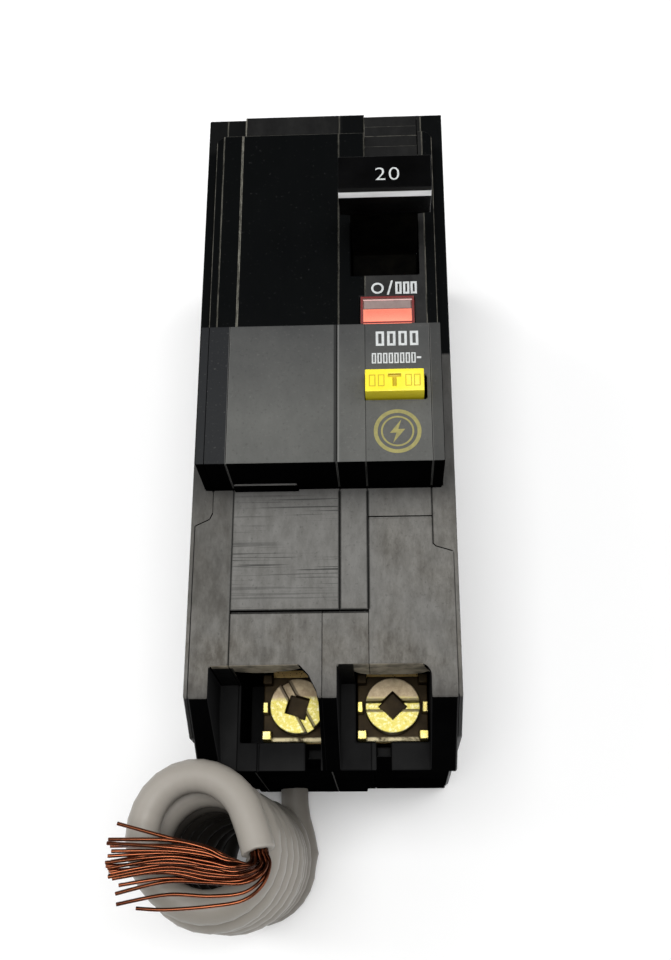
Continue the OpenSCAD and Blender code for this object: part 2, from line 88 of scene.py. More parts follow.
# ---------------------------------------------------------------- camera
# Solved from the corners of the case
CAM_AT = Vector((9.388, -76.789, 217.331))
CAM_AXIS = Vector((-0.04385, 0.37002, -0.92799)).normalized()
ROUGH_RIGHT = Vector((0.99890, 0.00089, -0.04684))
CAM_UP = ROUGH_RIGHT.cross(CAM_AXIS).normalized()
CAM_RIGHT = CAM_AXIS.cross(CAM_UP).normalized()
camera_data = bpy.data.cameras.new("camera")
camera_data.lens = 44.99
camera_data.sensor_width = 36
camera_data.sensor_fit = "AUTO"
camera_data.clip_start = 0.01
camera = bpy.data.objects.new("camera", camera_data)
bpy.context.scene.collection.objects.link(camera)
turned = Matrix((CAM_RIGHT, CAM_UP, -CAM_AXIS)).transposed()
camera.matrix_world = Matrix.Translation(CAM_AT * MM) @ turned.to_4x4()
bpy.context.scene.camera = camera

# ---------------------------------------------------------------- mesh helpers
SHARP_EDGE = math.radians(30)
FLAT_JOIN = math.radians(0.6)
ROOM_SHARE = 0.36
SPIKE = 0.05 * MM


def put(name, mesh, body="case", materials=(), replaces=()):
    obj = bpy.data.objects.new(name, mesh)
    bpy.context.scene.collection.objects.link(obj)
    for material in materials:
        mesh.materials.append(material)
    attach(obj, body)
    if replaces:
        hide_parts(*replaces)
    return obj


def mesh_from(name, bm, smooth_below=20):
    """The bmesh as a mesh, smooth across edges that turn by less than so many degrees."""
    bmesh.ops.recalc_face_normals(bm, faces=bm.faces)
    for face in bm.faces:
        face.smooth = True
    for edge in bm.edges:
        edge.smooth = edge.calc_face_angle(0) < math.radians(smooth_below)
    mesh = bpy.data.meshes.new(name)
    bm.to_mesh(mesh)
    bm.free()
    return mesh


def collinear(a, b):
    da = (a.verts[0].co - a.verts[1].co).normalized()
    db = (b.verts[0].co - b.verts[1].co).normalized()
    return abs(da.dot(db)) > 0.75


def side_room(edge, hard):
    """Length of the shortest edge that a bevel along this edge would eat into."""
    sides = [n.calc_length() for v in edge.verts for n in v.link_edges
             if n is not edge and set(n.link_faces) & set(edge.link_faces)
             and not (n in hard and collinear(n, edge))]
    return min(sides, default=1)


def applied(obj):
    """The object's mesh with its modifiers applied; the object is removed."""
    depsgraph = bpy.context.evaluated_depsgraph_get()
    mesh = bpy.data.meshes.new_from_object(obj.evaluated_get(depsgraph))
    bpy.data.objects.remove(obj)
    mesh.materials.clear()
    return mesh


def bevelled(name, bm, width, segments=2, edge_index=0, width_of=None):
    """The mesh with its sharp edges rounded, each by no more than its faces have room for."""
    weight = bm.edges.layers.float.new("bevel_weight_edge")
    bm.normal_update()
    corners = [v.co.copy() for v in bm.verts]
    low, high = ([pick(c[i] for c in corners) for i in range(3)] for pick in (min, max))
    hard = {e for e in bm.edges
            if len(e.link_faces) == 2 and e.calc_face_angle(0) > SHARP_EDGE}
    for edge in hard:
        wanted = width_of(edge) if width_of else width
        edge[weight] = min(wanted, ROOM_SHARE * side_room(edge, hard)) / width
    mesh = bpy.data.meshes.new(name)
    bm.to_mesh(mesh)
    bm.free()
    obj = bpy.data.objects.new(name, mesh)
    bpy.context.scene.collection.objects.link(obj)
    for i in range(edge_index + 1):
        mesh.materials.append(None)
    rounding = obj.modifiers.new("bevel", "BEVEL")
    rounding.limit_method = "WEIGHT"
    rounding.width = width
    rounding.segments = segments
    rounding.use_clamp_overlap = False
    rounding.material = edge_index if edge_index else -1
    out = bmesh.new()
    out.from_mesh(applied(obj))
    # a bevel can throw a point out at a thin corner; such a point goes back to its corner
    for vert in out.verts:
        if any(not low[i] - SPIKE < vert.co[i] < high[i] + SPIKE for i in range(3)):
            vert.co = min(corners, key=lambda c: (c - vert.co).length)
    bmesh.ops.remove_doubles(out, verts=out.verts, dist=2e-7)
    bmesh.ops.dissolve_degenerate(out, edges=out.edges, dist=1e-7)
    return mesh_from(name, out)


def cad_copy(node):
    """The CAD node's shape as a clean bmesh with its flat faces whole."""
    bm = bmesh.new()
    bm.from_mesh(NODES[node].data)
    bmesh.ops.remove_doubles(bm, verts=bm.verts, dist=1e-6)
    bmesh.ops.dissolve_limit(bm, angle_limit=FLAT_JOIN, verts=bm.verts, edges=bm.edges)
    for face in bm.faces:
        face.material_index = 0
    return bm


def prism(bm, outline, z):
    """Adds the outline, in mm, extruded between two heights."""
    ends = [[bm.verts.new(Vector((*p, level)) * MM) for p in outline] for level in z]
    n = len(outline)
    bm.faces.new(ends[0])
    bm.faces.new(list(reversed(ends[1])))
    for i in range(n):
        j = (i + 1) % n
        bm.faces.new((ends[0][i], ends[1][i], ends[1][j], ends[0][j]))


def block(bm, x, y, z):
    prism(bm, [(x[0], y[0]), (x[1], y[0]), (x[1], y[1]), (x[0], y[1])], z)


def outline_of(bm, x, y, z, line):
    """Rectangular outline of the given line width."""
    block(bm, x, (y[0], y[0] + line), z)
    block(bm, x, (y[1] - line, y[1]), z)
    inner = (y[0] + line, y[1] - line)
    block(bm, (x[0], x[0] + line), inner, z)
    block(bm, (x[1] - line, x[1]), inner, z)


def circle(centre, r, n):
    angles = [math.radians(360 * i / n) for i in range(n)]
    return [(centre[0] + r * math.cos(a), centre[1] + r * math.sin(a)) for a in angles]


def ring_plate(bm, centre, r_in, r_out, z, n=40):
    rings = [[bm.verts.new(Vector((*p, level)) * MM) for p in circle(centre, r, n)]
             for r, level in ((r_in, z[0]), (r_out, z[0]), (r_out, z[1]), (r_in, z[1]))]
    for a, b in zip(rings, rings[1:] + rings[:1]):
        for i in range(n):
            j = (i + 1) % n
            bm.faces.new((a[i], a[j], b[j], b[i]))


def tube(bm, points, radius, sides=8):
    """Closed tube along points, in metres."""
    up = Vector((0, 0, 1))
    rings = []
    for i, p in enumerate(points):
        ahead = (points[min(i + 1, len(points) - 1)] - points[max(i - 1, 0)]).normalized()
        u = ahead.cross(up)
        u = u.normalized() if u.length > 1e-4 else Vector((1, 0, 0))
        up = u.cross(ahead).normalized()
        angles = [2 * math.pi * k / sides for k in range(sides)]
        rings.append([bm.verts.new(p + radius * (math.cos(a) * u + math.sin(a) * up))
                      for a in angles])
    for a, b in zip(rings, rings[1:]):
        for k in range(sides):
            m = (k + 1) % sides
            bm.faces.new((a[k], a[m], b[m], b[k]))
    bm.faces.new(list(reversed(rings[0])))
    bm.faces.new(rings[-1])


def smooth_path(points, steps):
    """Catmull-Rom curve through the points."""
    out = []
    n = len(points)
    for i in range(n - 1):
        p0, p1, p2, p3 = (points[max(i - 1, 0)], points[i], points[i + 1],
                          points[min(i + 2, n - 1)])
        for s in range(steps):
            t = s / steps
            out.append(0.5 * ((2 * p1) + (p2 - p0) * t + (2 * p0 - 5 * p1 + 4 * p2 - p3) * t * t
                       + (3 * p1 - p0 - 3 * p2 + p3) * t ** 3))
    out.append(points[-1])
    return out


# ---------------------------------------------------------------- materials
def grey(level):
    return (level, level, level)


class Shade:
    """A node material around one Principled shader."""

    def __init__(self, name, **constants):
        self.material = bpy.data.materials.new(name)
        self.material.use_nodes = True
        self.tree = self.material.node_tree
        self.shader = self.tree.nodes["Principled BSDF"]
        for key, value in constants.items():
            self.shader.inputs[key.replace("_", " ")].default_value = value
        self.place = self.tree.nodes.new("ShaderNodeTexCoord").outputs["Object"]

    def node(self, kind, **settings):
        made = self.tree.nodes.new("ShaderNode" + kind)
        for key, value in settings.items():
            setattr(made, key, value)
        return made

    def link(self, a, b):
        self.tree.links.new(a, b)

    def noise(self, scale, detail, stretch=(1, 1, 1), rough=0.55, shift=0.0):
        mapping = self.node("Mapping")
        mapping.inputs["Scale"].default_value = stretch
        mapping.inputs["Location"].default_value = (shift, shift * 0.7, shift * 1.3)
        self.link(self.place, mapping.inputs["Vector"])
        made = self.node("TexNoise")
        made.inputs["Scale"].default_value = scale
        made.inputs["Detail"].default_value = detail
        made.inputs["Roughness"].default_value = rough
        self.link(mapping.outputs["Vector"], made.inputs["Vector"])
        return made.outputs["Fac"]

    def span(self, value, low, high, to_low=0.0, to_high=1.0):
        """Follows the value from low to high, and stays at the ends beyond them."""
        made = self.node("MapRange")
        made.clamp = True
        for key, number in (("From Min", low), ("From Max", high),
                            ("To Min", to_low), ("To Max", to_high)):
            made.inputs[key].default_value = number
        self.link(value, made.inputs["Value"])
        return made.outputs["Result"]

    def past(self, value, low, high, to_low=0.0, to_high=1.0):
        """span() for a coordinate, with low and high in mm."""
        return self.span(value, low * MM, high * MM, to_low, to_high)

    def math(self, how, a, b=0.0):
        made = self.node("Math", operation=how)
        for socket, value in zip(made.inputs, (a, b)):
            if isinstance(value, (int, float)):
                socket.default_value = value
            else:
                self.link(value, socket)
        return made.outputs[0]

    def times(self, product, *others):
        for value in others:
            product = self.math("MULTIPLY", product, value)
        return product

    def most(self, found, *others):
        for value in others:
            found = self.math("MAXIMUM", found, value)
        return found

    def without(self, value):
        return self.math("SUBTRACT", 1.0, value)

    def distance(self, value):
        return self.math("ABSOLUTE", value)

    def mix(self, factor, a, b):
        made = self.node("Mix", data_type="RGBA")
        for key, value in (("Factor", factor), ("A", a), ("B", b)):
            socket = [s for s in made.inputs if s.name == key
                      and s.type == ("VALUE" if key == "Factor" else "RGBA")][0]
            if isinstance(value, (int, float)):
                socket.default_value = value
            elif isinstance(value, tuple):
                socket.default_value = (*value, 1)
            else:
                self.link(value, socket)
        return [s for s in made.outputs if s.type == "RGBA"][0]

    def axes(self):
        made = self.node("SeparateXYZ")
        self.link(self.place, made.inputs[0])
        return [made.outputs[a] for a in "XYZ"]

    def facing(self, axis):
        """How far the face's normal points along the axis."""
        geometry = self.node("NewGeometry")
        made = self.node("SeparateXYZ")
        self.link(geometry.outputs["Normal"], made.inputs[0])
        return made.outputs[axis]

    def levels(self, y, z):
        """Masks: beyond the step, on the test button's plateau, and above the ledges."""
        return (self.past(y, STEP_Y - 0.2, STEP_Y + 0.2), self.past(z, *BELOW_MID_Z),
                self.past(z, *BELOW_DECK_Z))

    def lines(self, value, places, half_width):
        """1 on thin lines where the value is at one of the places (mm), 0 elsewhere."""
        found = []
        for place in places:
            off = self.distance(self.math("SUBTRACT", value, place * MM))
            found.append(self.past(off, half_width, 0.5 * half_width))
        return self.most(*found)

    def bump(self, height, strength, distance):
        made = self.node("Bump")
        made.inputs["Strength"].default_value = strength
        made.inputs["Distance"].default_value = distance
        self.link(height, made.inputs["Height"])
        self.link(made.outputs["Normal"], self.shader.inputs["Normal"])

    def colour(self, value):
        self.link(value, self.shader.inputs["Base Color"])

    def rough(self, value):
        self.link(value, self.shader.inputs["Roughness"])


class CasePlastic(Shade):
    """Top faces of a moulding: gloss black beyond the step, worn and dusty grey with painted shade
    before it.
    """

    def __init__(self, name, shift, streaks=False):
        super().__init__(name, Specular_IOR_Level=0.045)
        self.shift = shift
        self.x, self.y, self.z = self.axes()
        self.cloud = self.noise(110, 5, shift=shift)
        self.grain = self.noise(2300, 3, shift=shift)
        self.brushed = self.noise(620, 6, (1, 0.4, 1), 0.7, shift)
        self.scuff = self.noise(240, 7, (1, 0.5, 1), 0.72, shift)
        beyond_step, self.on_mid, self.above_ledge = self.levels(self.y, self.z)
        self.panel = self.times(self.past(self.y, -13.8, -14.2), self.past(self.y, PANEL_Y, -31.6))
        self.label = self.times(self.past(self.x, 6.3, 6.4),
                                self.past(self.x, RIGHT_SEAM_X, 15.5))
        self.colour(self.mix(beyond_step, self.worn_and_shaded_faces(streaks), self.far_faces()))
        shine = self.times(beyond_step, self.without(self.label))
        self.rough(self.math("ADD", self.span(shine, 0, 1, 0.55, 0.34),
                             self.span(self.scuff, 0.3, 0.8, -0.03, 0.1)))
        relief = self.math("ADD", self.times(self.grain, 0.5), self.times(self.scuff, 0.8))
        self.bump(relief, 0.14, 0.00006)

    def deck(self):
        """Grey deck before the plateaus: grimy at sides and towards terminals, painted shade by the
        wall.
        """
        x, y = self.x, self.y
        clean = self.mix(self.span(self.brushed, 0.34, 0.66), (0.128, 0.125, 0.117),
                         (0.178, 0.175, 0.166))
        grimy = self.mix(self.span(self.brushed, 0.38, 0.64), (0.085, 0.078, 0.067),
                         (0.168, 0.16, 0.144))
        sides = self.most(self.past(x, 6.5, 9), self.past(x, LEFT_SEAM_X, -13.5))
        grime = self.most(self.past(y, -30, -36), self.times(sides, 0.7))
        deck = self.mix(self.times(grime, self.span(self.cloud, 0.35, 0.6, 0.25, 1.0)),
                        clean, grimy)
        # painted shade: the deck darkens towards the near wall of the test button's plateau
        deck = self.mix(self.past(y, -17.5, MID_NEAR_Y, 0.0, 0.6), deck, grey(0.05))
        deck = self.mix(self.past(y, -39.3, -43.8, 0.0, 0.5), deck, (0.045, 0.043, 0.042))
        left_shade = self.times(self.past(x, -12.9, -13.1, 0.0, 0.35), self.past(y, -36, -30))
        deck = self.mix(left_shade, deck, (0.03, 0.03, 0.028))
        return self.mix(self.times(self.deck_joints(), 0.9), deck, (0.014, 0.014, 0.013))

    def deck_joints(self):
        """Dark joints around and across the panel in the deck."""
        x, y = self.x, self.y
        along = self.times(self.lines(x, (MODULE_SEAM_X, FRAME_SEAM_X), 0.3), self.panel)
        across = self.times(self.past(x, -13.1, LEFT_SEAM_X), self.past(x, 6.5, 6.4),
                            self.lines(y, (PANEL_Y,), 0.42))
        right = self.times(self.lines(x, (RIGHT_SEAM_X,), 0.2), self.past(y, -22.5, -22.2))
        sides = self.most(self.lines(x, (LEFT_SEAM_X,), 0.2), right)
        return self.most(along, self.most(across, self.times(sides, 0.7)))

    def middle(self):
        """Plateau of the test button, painted shade towards the step, and darker at its sides."""
        tone = self.mix(self.span(self.scuff, 0.3, 0.75), (0.094, 0.095, 0.090),
                        (0.124, 0.125, 0.118))
        # painted shade: the plateau darkens towards the step
        shade = self.times(self.past(self.y, -7, 8, 0.0, 0.68),
                           self.span(self.cloud, 0.3, 0.7, 0.7, 1.2))
        tone = self.mix(shade, tone, (0.038, 0.039, 0.041))
        tone = self.mix(self.past(self.x, -12.9, -13.1, 0.0, 0.9), tone, (0.014, 0.015, 0.017))
        return self.mix(self.past(self.x, 15.5, 15.8, 0.0, 0.5), tone, grey(0.03))

    def panel_streaks(self):
        """Fine scratches across the panel, in patches."""
        fine = self.noise(3400, 2, (0.015, 1, 1), 0.5, self.shift)
        cloud = self.noise(150, 2, (0.4, 1.3, 1), 0.5, self.shift + 1)
        near = self.times(self.past(self.y, -23, -25), 0.35)
        band = self.most(near, self.past(self.y, -19, -17, 0, 0.3))
        patch = self.math("ADD", self.span(cloud, 0.42, 0.6, 0.0, 0.6), band)
        return self.times(self.span(fine, 0.57, 0.62), patch, self.panel)

    def worn_and_shaded_faces(self, streaks):
        """Deck, test button's plateau and ledges: specks, joints, pale seams, painted shade by the
        gap.
        """
        worn = self.mix(self.on_mid, self.deck(), self.middle())
        if streaks:
            worn = self.mix(self.panel_streaks(), worn, (0.045, 0.045, 0.043))
        worn = self.mix(self.span(self.grain, 0.62, 0.8, 0.0, 0.22), worn, (0.24, 0.235, 0.22))
        worn = self.mix(self.span(self.grain, 0.4, 0.27, 0.0, 0.35), worn, (0.04, 0.04, 0.038))
        # painted shade in the gap between the module and the centre frame
        gap_shade = self.times(self.lines(self.x, (2.2,), 0.34), self.on_mid)
        worn = self.mix(self.times(gap_shade, 0.8), worn, grey(0.018))
        pale = self.times(self.lines(self.x, (LEFT_SEAM_X, 2.62, RIGHT_SEAM_X), 0.13),
                          self.on_mid)
        worn = self.mix(self.times(pale, 0.55), worn, (0.22, 0.22, 0.21))
        ledge = self.mix(self.span(self.cloud, 0.35, 0.7), (0.005, 0.005, 0.0052), grey(0.012))
        return self.mix(self.above_ledge, ledge, worn)

    def far_faces(self):
        """Black plateau of the handle: gloss, with a matt border and a matt label column."""
        x, y, z = self.x, self.y, self.z
        gloss = self.mix(self.span(self.grain, 0.66, 0.82, 0.0, 0.5), (0.0022, 0.0026, 0.0028),
                         grey(0.05))
        matt = self.mix(self.span(self.scuff, 0.4, 0.7), grey(0.019), (0.034, 0.034, 0.033))
        matt = self.mix(self.past(y, 41.4, LABEL_STEPS_Y[0], 0.0, 0.55), matt, grey(0.004))
        border = self.times(self.past(z, 57.6, 57.0), self.past(y, 45, 46),
                            self.past(x, 3, 2, 0.1, 1.0), self.past(x, -13.1, -12.9, 0.3, 1.0))
        far = self.mix(self.most(self.label, border), gloss, matt)
        fluff = self.noise(520, 5, (1, 0.6, 1), 0.75, self.shift)
        dust = self.span(fluff, 0.36, 0.6, 0.15, 0.9)
        return self.mix(self.times(self.dusty_seams(), dust), far, (0.26, 0.25, 0.21))

    def dusty_seams(self):
        """Seams, rim and label steps of the handle's plateau, where dust gathers."""
        x, y = self.x, self.y
        rim = self.most(self.lines(x, (-RIM_X, RIM_X), 0.14), self.lines(y, (RIM_Y,), 0.14))
        rim = self.times(rim, self.past(self.z, 58.6, 58.8))
        seams = (COVER_SEAM_X, MODULE_SEAM_X, FRAME_SEAM_X, RIGHT_SEAM_X)
        thin = self.most(self.lines(x, seams, 0.12), rim)
        ribs = self.times(self.label, self.lines(y, LABEL_STEPS_Y, 0.13), self.past(x, 15, 14.9))
        return self.most(self.lines(x, (LEFT_SEAM_X,), 0.2),
                         self.times(self.most(thin, ribs), 0.6))


def case_edge():
    """Rounded edges and seams: dusty lines on the black faces, dark grooves on the worn deck."""
    s = Shade("case_edge", Specular_IOR_Level=0.1)
    x, y, z = s.axes()
    dust = s.noise(420, 5, (1, 0.4, 1), 0.7)
    frontal = s.span(s.facing("Y"), -0.75, -0.9)
    beyond_step, on_mid, above_ledge = s.levels(y, z)
    dusty = s.mix(s.span(dust, 0.38, 0.6), (0.10, 0.095, 0.08), (0.34, 0.32, 0.28))
    outer = s.most(s.past(x, -18.2, -18.6), s.past(y, 51, 51.6))
    dusty = s.mix(outer, dusty, grey(0.02))
    middle = s.mix(s.span(dust, 0.4, 0.62), (0.035, 0.035, 0.034), (0.11, 0.11, 0.105))
    seam = s.mix(s.span(dust, 0.4, 0.7), grey(0.008), grey(0.03))
    tone = s.mix(on_mid, seam, middle)
    tone = s.mix(above_ledge, (0.10, 0.10, 0.096), tone)
    tone = s.mix(s.times(frontal, on_mid), tone, (0.07, 0.07, 0.068))
    tone = s.mix(beyond_step, tone, dusty)
    lit = s.most(s.span(s.facing("Z"), 0.05, 0.25), s.times(s.past(y, -40, -41), 0.6))
    s.colour(s.mix(lit, grey(0.01), tone))
    s.rough(s.span(dust, 0.3, 0.7, 0.45, 0.65))
    s.bump(dust, 0.15, 0.00006)
    return s.material


def case_side():
    """Walls: nearly black plastic, lighter and glossier on the outer sides that hands touch."""
    s = Shade("case_side")
    x, y, z = s.axes()
    cloud = s.noise(90, 5)
    scuff = s.noise(260, 6, (1, 0.6, 0.6), 0.7)
    wall = s.mix(s.span(cloud, 0.35, 0.7), (0.0008, 0.0008, 0.0009), (0.002, 0.002, 0.0021))
    wall = s.mix(s.span(scuff, 0.68, 0.86), wall, (0.007, 0.007, 0.0068))
    outer = s.most(s.past(s.distance(x), 18.2, 18.4), s.past(y, 51.6, 51.9))
    handled = s.mix(s.span(scuff, 0.45, 0.75), (0.011, 0.011, 0.0115), (0.030, 0.030, 0.029))
    wall = s.mix(outer, wall, handled)
    s.link(s.span(outer, 0, 1, 0.0, 0.3), s.shader.inputs["Specular IOR Level"])
    in_well = s.times(s.span(s.distance(s.facing("X")), 0.7, 0.8),
                      s.past(y, WELL_Y, WELL_Y - 0.3), s.past(z, 43, 43.6), s.without(outer))
    wall = s.mix(in_well, wall, (0.014, 0.014, 0.0145))
    base = s.times(s.lines(y, (BASE_NEAR_Y,), 0.2), s.past(z, 42.3, 42.1),
                   s.lines(x, (-12.4, -0.2), 0.14))
    wall = s.mix(base, wall, (0.06, 0.06, 0.058))
    near_wall = s.times(s.lines(y, (MID_NEAR_Y,), 0.2), s.past(z, 56.2, 56.6))
    seams = (LEFT_SEAM_X, MODULE_SEAM_X, FRAME_SEAM_X, RIGHT_SEAM_X)
    dust = s.times(s.lines(x, seams, 0.16), near_wall, s.span(scuff, 0.35, 0.6, 0.35, 1.0))
    s.colour(s.mix(dust, wall, (0.11, 0.11, 0.105)))
    s.rough(s.span(scuff, 0.3, 0.8, 0.4, 0.6))
    s.bump(scuff, 0.12, 0.00006)
    return s.material


def simple(name, colour, second, rough=(0.3, 0.5), metallic=0.0, scale=180,
           stretch=(1, 1, 1), bump=0.1, **constants):
    """A material whose colour and gloss wander between two values."""
    s = Shade(name, Metallic=metallic, **constants)
    cloud = s.noise(scale, 5, stretch, 0.6)
    fine = s.noise(scale * 14, 3, stretch, 0.5)
    s.colour(s.mix(s.span(cloud, 0.35, 0.7), colour, second))
    s.rough(s.span(fine, 0.3, 0.7, rough[0], rough[1]))
    s.bump(s.math("ADD", fine, cloud), bump, 0.00004)
    return s.material


def strip_wear_and_highlight(handle_z):
    """The handle's near face, bright along a strip below its top edge: wear and a painted
    highlight.
    """
    s = Shade("handle_wear_and_highlight", Specular_IOR_Level=0.2)
    z = s.axes()[2]
    brushed = s.noise(700, 4, (0.15, 1, 1))
    bright = s.mix(s.span(brushed, 0.35, 0.65), (0.86, 0.86, 0.87), grey(0.6))
    # painted highlight, with wear: the bright band just below the top edge
    s.colour(s.mix(s.past(z, handle_z - 0.74, handle_z - 0.66), bright, grey(0.004)))
    s.rough(s.span(brushed, 0.3, 0.7, 0.35, 0.5))
    return s.material


def lip_dust_and_light():
    """Lips that hang over the terminals: painted light mottled with dust, dark walls below and
    beside them.
    """
    s = Shade("lip_dust_and_light", Specular_IOR_Level=0.05)
    x, _, z = s.axes()
    cloud = s.noise(420, 5)
    dust = s.mix(s.span(cloud, 0.35, 0.65), (0.34, 0.30, 0.23), (0.11, 0.10, 0.08))
    beside = s.most(s.past(x, -12.5, -12.7), s.times(s.past(x, 0, 1), s.past(x, 4.3, 4.1)))
    lip = s.times(s.past(z, 49, 49.3), s.without(beside))
    # painted light: the pale band on the lips and the thin rim above the left well, mottled with
    # dust
    rim = s.times(s.past(z, 54, 54.5), s.past(x, 0, -1))
    s.colour(s.mix(s.most(lip, rim), grey(0.006), dust))
    s.rough(s.span(cloud, 0.3, 0.7, 0.5, 0.7))
    return s.material


def zinc_shade():
    """Plating painted in the shade of the well, with a painted highlight only along the saddle's
    near edge.
    """
    s = Shade("zinc_shade", Metallic=0.3, Specular_IOR_Level=0.1)
    y = s.axes()[1]
    cloud = s.noise(420, 5, rough=0.6)
    dark = s.mix(s.span(cloud, 0.35, 0.7), (0.030, 0.019, 0.006), (0.014, 0.009, 0.004))
    # painted highlight along the saddle's near edge
    rim = s.times(s.lines(y, (-47.5,), 0.45), s.span(cloud, 0.4, 0.52))
    s.colour(s.mix(rim, dark, (0.55, 0.48, 0.30)))
    s.rough(s.span(cloud, 0.3, 0.7, 0.4, 0.55))
    return s.material


def screw_head(side_name, at, turn):
    """Yellow zinc, painted reflection bright on the near part of the head, with dark flanks along
    the slot.
    """
    s = Shade("screw_head_" + side_name, Metallic=0.55)
    x, y, z = s.axes()
    fine = s.noise(1900, 5, rough=0.7)
    worn = s.noise(500, 5, rough=0.7)
    # painted reflection: bright on the near part of the head, dull on its far part, their border
    # wobbled by noise
    bright = s.mix(s.span(fine, 0.5, 0.62), (0.42, 0.36, 0.07), (0.60, 0.565, 0.32))
    bright = s.mix(s.span(fine, 0.40, 0.34), bright, (0.20, 0.16, 0.04))
    dull = s.mix(s.span(worn, 0.4, 0.65), (0.17, 0.125, 0.07), (0.30, 0.24, 0.15))
    edge = s.math("ADD", y, s.span(worn, 0.3, 0.7, -0.3 * MM, 0.3 * MM))
    head = s.mix(s.past(edge, -42.3, -41.7), bright, dull)
    dx = s.math("SUBTRACT", x, at[0] * MM)
    dy = s.math("SUBTRACT", y, at[1] * MM)
    across = s.math("SUBTRACT", s.times(dy, math.cos(math.radians(turn))),
                    s.times(dx, math.sin(math.radians(turn))))
    flank = s.times(s.lines(s.distance(across), (0.74,), 0.34),
                    s.past(z, HEAD_TOP - 0.3, HEAD_TOP - 0.2), 0.85)
    s.colour(s.mix(flank, head, (0.03, 0.018, 0.006)))
    s.rough(s.span(fine, 0.3, 0.7, 0.3, 0.45))
    s.bump(fine, 0.1, 0.00004)
    return s.material


def jacket():
    """White insulation gone grey, dark inside the coil where no light reaches."""
    s = Shade("white_insulation", Specular_IOR_Level=0.3)
    x, y, z = s.axes()
    cloud = s.noise(60, 5, (1, 1, 0.5), 0.6)
    fine = s.noise(840, 3, (1, 1, 0.5), 0.5)
    clean = s.mix(s.span(cloud, 0.35, 0.7), (0.325, 0.30, 0.266), (0.278, 0.257, 0.222))
    clean = s.mix(s.past(z, 30, 4, 0.0, 0.6), clean, (0.10, 0.09, 0.075))
    # the coil's axis leans over by 0.07 mm in x for each mm of height
    dx = s.math("ADD", s.math("SUBTRACT", x, s.times(z, -0.07)), 13.85 * MM)
    dy = s.math("ADD", y, 62.6 * MM)
    off_axis = s.math("SQRT", s.math("ADD", s.times(dx, dx), s.times(dy, dy)))
    inside = s.times(s.past(off_axis, 8.2, 7.0), s.past(z, 45, 36), 0.92)
    s.colour(s.mix(inside, clean, (0.012, 0.009, 0.006)))
    s.rough(s.span(fine, 0.3, 0.7, 0.36, 0.5))
    s.bump(s.math("ADD", fine, cloud), 0.06, 0.00008)
    return s.material


EDGE = case_edge()
SIDE = case_side()
LIP = lip_dust_and_light()
MOULD = {
    "left_cover": CasePlastic("case_left_cover", 0.00).material,
    "left_case": CasePlastic("case_left", 0.11).material,
    "module_case": CasePlastic("case_module", 0.23, streaks=True).material,
    "centre_frame": CasePlastic("case_centre", 0.37).material,
    "right_case": CasePlastic("case_right", 0.49).material,
    "right_cover": CasePlastic("case_right_cover", 0.61).material,
}
HANDLE = simple("handle_gloss", (0.0014, 0.0014, 0.0015), (0.003, 0.003, 0.0032), (0.28, 0.4),
                scale=120, Specular_IOR_Level=0.025)
HANDLE_HUB = simple("handle_hub", (0.0015, 0.0015, 0.0016), (0.004, 0.0038, 0.003), (0.5, 0.65),
                    scale=500, Specular_IOR_Level=0.0)
# pale edges of the handle: wear with a painted highlight
HANDLE_EDGE = simple("handle_edge", (0.22, 0.22, 0.21), grey(0.08), (0.4, 0.5), scale=500)
PRINT = simple("white_print", (0.62, 0.64, 0.64), (0.46, 0.48, 0.48), (0.5, 0.65), scale=1500)
GOLD_PRINT = simple("olive_print", (0.30, 0.27, 0.085), (0.22, 0.20, 0.07), (0.4, 0.55),
                    scale=1500)
BUTTON = simple("yellow_button", (0.93, 0.80, 0.03), (0.88, 0.73, 0.02), (0.36, 0.48), scale=240)
# painted shade: the engraved T and bars are drawn darker, as shade in their grooves
BUTTON_MARK = simple("yellow_engraving_shade", (0.60, 0.44, 0.01), (0.50, 0.37, 0.008), (0.4, 0.5),
                     scale=240)
# The emission is painted light: it stands in for the light that reaches the flag through the lens.
FLAG = simple("glowing_coral_flag", (0.95, 0.20, 0.12), (0.92, 0.15, 0.08), (0.45, 0.6), scale=240,
              Specular_IOR_Level=0.2, Emission_Color=(1.0, 0.27, 0.16, 1), Emission_Strength=0.85)
LENS = simple("clear_lens", (0.9, 0.5, 0.45), (0.85, 0.42, 0.38), (0.1, 0.2), scale=300,
              Alpha=0.14, bump=0.02, Specular_IOR_Level=0.3)
LENS_RIM = simple("tinted_lens_rim", (0.20, 0.022, 0.022), (0.14, 0.018, 0.018), (0.3, 0.45),
                  scale=300)
LENS_FROST = simple("frosted_lens", (0.27, 0.20, 0.185), (0.22, 0.16, 0.15), (0.5, 0.6), scale=900)
LENS_GLINT = simple("lens_glint", (0.75, 0.5, 0.47), (0.6, 0.4, 0.38), (0.4, 0.5), scale=900)
YELLOW_ZINC = simple("yellow_zinc", (0.50, 0.41, 0.10), (0.46, 0.40, 0.21), (0.22, 0.4), 0.85,
                     scale=420, bump=0.12)
ZINC_SHADE = zinc_shade()
SCREW_HEAD = {name: screw_head(name, SCREW_AT[name], SCREW_TURN[name]) for name in SCREW_AT}
STEEL = simple("plated_steel", (0.55, 0.55, 0.56), (0.44, 0.44, 0.45), (0.25, 0.42), 1.0, scale=300)
SPRING = simple("spring_wire", (0.6, 0.6, 0.62), (0.5, 0.5, 0.51), (0.2, 0.32), 1.0, scale=400)
BRASS = simple("stamped_brass", (0.66, 0.46, 0.18), (0.56, 0.38, 0.15), (0.25, 0.42), 1.0,
               scale=300)
COPPER = simple("bare_copper", (0.40, 0.125, 0.05), (0.25, 0.07, 0.026), (0.24, 0.34), 1.0,
                scale=160, stretch=(0.25, 1, 1), bump=0.0)
STRAND = simple("stranded_copper", (0.21, 0.066, 0.030), (0.045, 0.011, 0.005), (0.16, 0.26), 1.0,
                scale=260, stretch=(0.25, 1, 1), bump=0.0)
